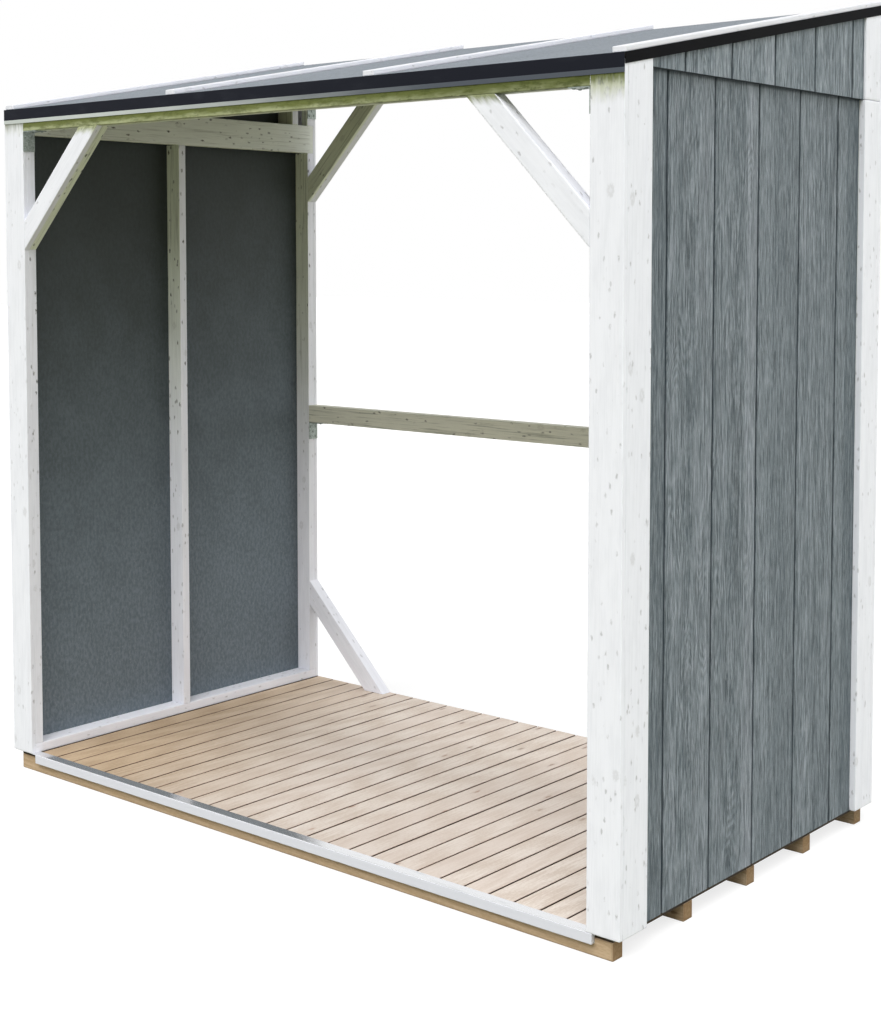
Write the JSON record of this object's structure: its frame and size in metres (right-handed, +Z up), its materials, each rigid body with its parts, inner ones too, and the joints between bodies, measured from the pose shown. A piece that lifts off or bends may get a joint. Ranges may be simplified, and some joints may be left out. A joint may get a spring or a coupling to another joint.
{
  "type": "log store",
  "caption": "Open-fronted timber log store with two grooved side walls, white corner trims, a slatted floor on bearers, braced frame and felted pent roof.",
  "frame": {"origin": "on the ground below the middle of the store", "axes": "+X along the store to the right as seen from the front, -Y to the low open front, +Z up"},
  "size_m": [2.23, 1.229, 2.24],
  "materials": {
    "white_wood": "white primed softwood with faint grain and knots",
    "grey_panel": "blue-grey painted, wood-grain embossed grooved sheet",
    "deck_wood": "bare planed softwood boards",
    "treated_wood": "brown pressure-treated rough-sawn timber",
    "roof_board": "bare roof boarding",
    "felt": "grey mineral roofing felt",
    "black_edging": "satin black painted metal",
    "metal_strip": "bright rolled strip",
    "zinc_plate": "zinc-plated"
  },
  "bodies": {
    "root": {"bearers": "treated_wood", "edge_boards": "treated_wood", "floor_boards": "deck_wood", "front_sill": "white_wood", "sill_strip": "metal_strip", "left_bottom_plate": "white_wood", "right_bottom_plate": "white_wood", "left_front_stud": "white_wood", "right_front_stud": "white_wood", "left_middle_stud": "white_wood", "right_middle_stud": "white_wood", "left_rear_stud": "white_wood", "right_rear_stud": "white_wood", "left_top_rail": "white_wood", "right_top_rail": "white_wood", "gable_studs": "white_wood", "rear_uprights": "white_wood", "left_wall_panel": "grey_panel", "right_wall_panel": "grey_panel", "left_gable_panel": "grey_panel", "right_gable_panel": "grey_panel", "left_front_trim": "white_wood", "right_front_trim": "white_wood", "left_rear_trim": "white_wood", "right_rear_trim": "white_wood", "left_front_side_trim": "white_wood", "right_front_side_trim": "white_wood", "left_rear_side_trim": "white_wood", "right_rear_side_trim": "white_wood", "front_beam": "white_wood", "rear_beam": "white_wood", "rear_rail": "white_wood", "front_braces": "white_wood", "rear_braces": "white_wood", "foot_braces": "white_wood", "corner_brackets": "zinc_plate", "roof_boarding": "roof_board", "roof_felt": "felt", "eave_strip": "white_wood", "front_edging": "black_edging", "rear_edging": "black_edging", "verge_edgings": "black_edging", "roof_battens": "white_wood"}
  },
  "joints": []
}
